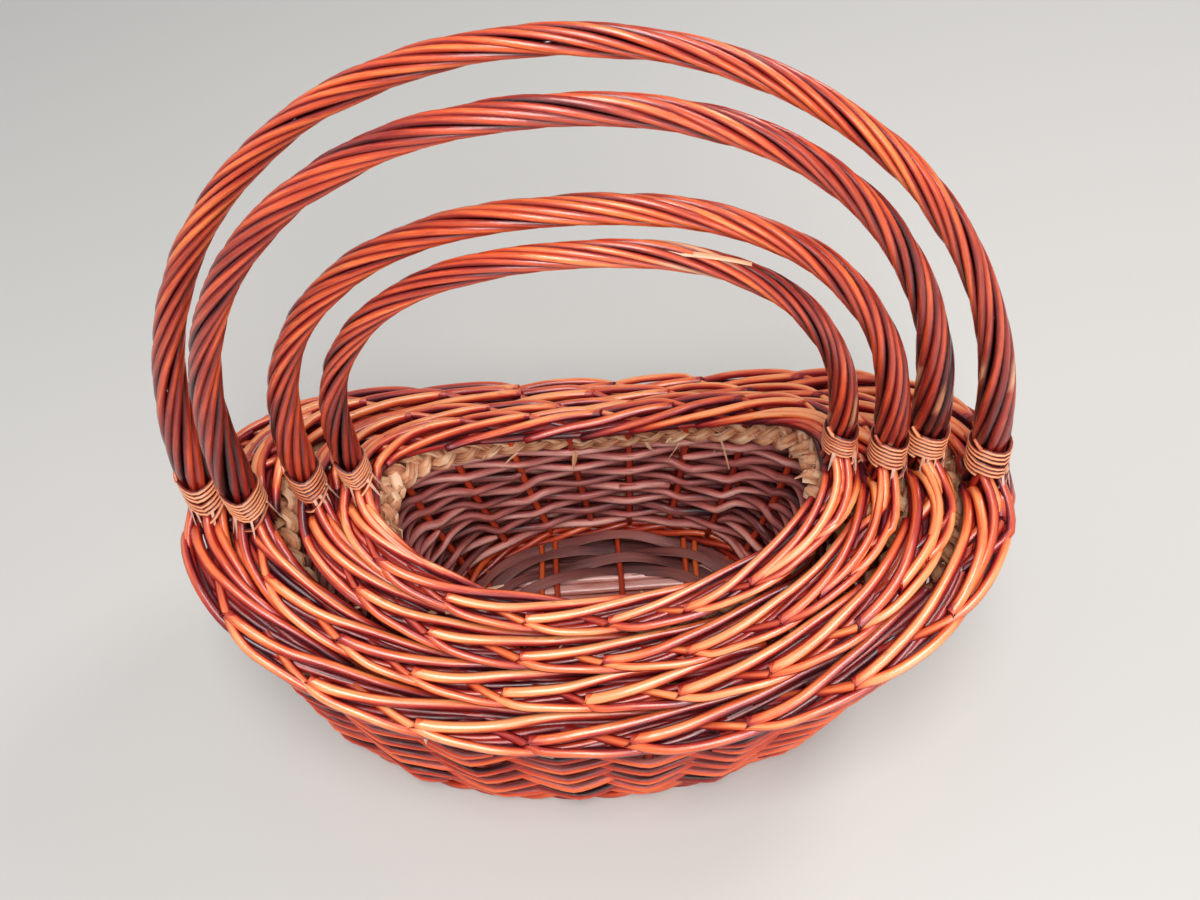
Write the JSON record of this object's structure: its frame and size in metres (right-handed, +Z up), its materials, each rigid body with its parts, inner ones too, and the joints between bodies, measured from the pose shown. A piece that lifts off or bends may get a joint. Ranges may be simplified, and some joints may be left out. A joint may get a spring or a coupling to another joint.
{
  "type": "gift basket",
  "caption": "Nested set of oval woven willow gift baskets with twisted bow handles; each one lifts a little inside the next before it tips out.",
  "frame": {"origin": "on the ground, below the middle of the outer basket's rim", "axes": "+Z up, +X along the baskets' long way and towards the right feet of the handles, +Y away from the viewer of the picture"},
  "size_m": [0.4981, 0.2786, 0.4924],
  "materials": {
    "willow_rods": "glossy red-brown lacquer over willow",
    "handle_rods": "glossy dark red lacquer over willow",
    "side_rods": "lacquered woven willow",
    "core_rod": "plain willow rod, stained",
    "dry_husk": "matte dry plaited husk",
    "split_cane": "satin split cane",
    "floor_ribbon": "matte flat brown ribbon",
    "base_sticks": "stained sticks"
  },
  "bodies": {
    "outer_basket": {"outer_floor_sticks": "base_sticks", "outer_floor_ribbon": "floor_ribbon", "outer_foot_wale": "willow_rods", "outer_side_weave": "side_rods", "outer_husk_plait": "dry_husk", "outer_border": "willow_rods", "outer_handle_core": "core_rod", "outer_handle_rods": "handle_rods", "outer_left_winding": "split_cane", "outer_right_winding": "split_cane"},
    "second_basket": {"second_floor_sticks": "base_sticks", "second_floor_ribbon": "floor_ribbon", "second_foot_wale": "willow_rods", "second_side_weave": "side_rods", "second_husk_plait": "dry_husk", "second_border": "willow_rods", "second_handle_core": "core_rod", "second_handle_rods": "handle_rods", "second_left_winding": "split_cane", "second_right_winding": "split_cane"},
    "third_basket": {"third_floor_sticks": "base_sticks", "third_floor_ribbon": "floor_ribbon", "third_foot_wale": "willow_rods", "third_side_weave": "side_rods", "third_husk_plait": "dry_husk", "third_border": "willow_rods", "third_handle_core": "core_rod", "third_handle_rods": "handle_rods", "third_left_winding": "split_cane", "third_right_winding": "split_cane"},
    "inner_basket": {"inner_floor_sticks": "base_sticks", "inner_floor_ribbon": "floor_ribbon", "inner_foot_wale": "willow_rods", "inner_side_weave": "side_rods", "inner_husk_plait": "dry_husk", "inner_border": "willow_rods", "inner_handle_core": "core_rod", "inner_handle_rods": "handle_rods", "inner_left_winding": "split_cane", "inner_right_winding": "split_cane"}
  },
  "joints": [
    {"name": "second_basket_lift", "type": "slide", "parent": "outer_basket", "child": "second_basket", "axis": [0, 0, 1], "range_m": [0, 0.018]},
    {"name": "third_basket_lift", "type": "slide", "parent": "second_basket", "child": "third_basket", "axis": [0, 0, 1], "range_m": [0, 0.026]},
    {"name": "inner_basket_lift", "type": "slide", "parent": "third_basket", "child": "inner_basket", "axis": [0, 0, 1], "range_m": [0, 0.006]}
  ]
}
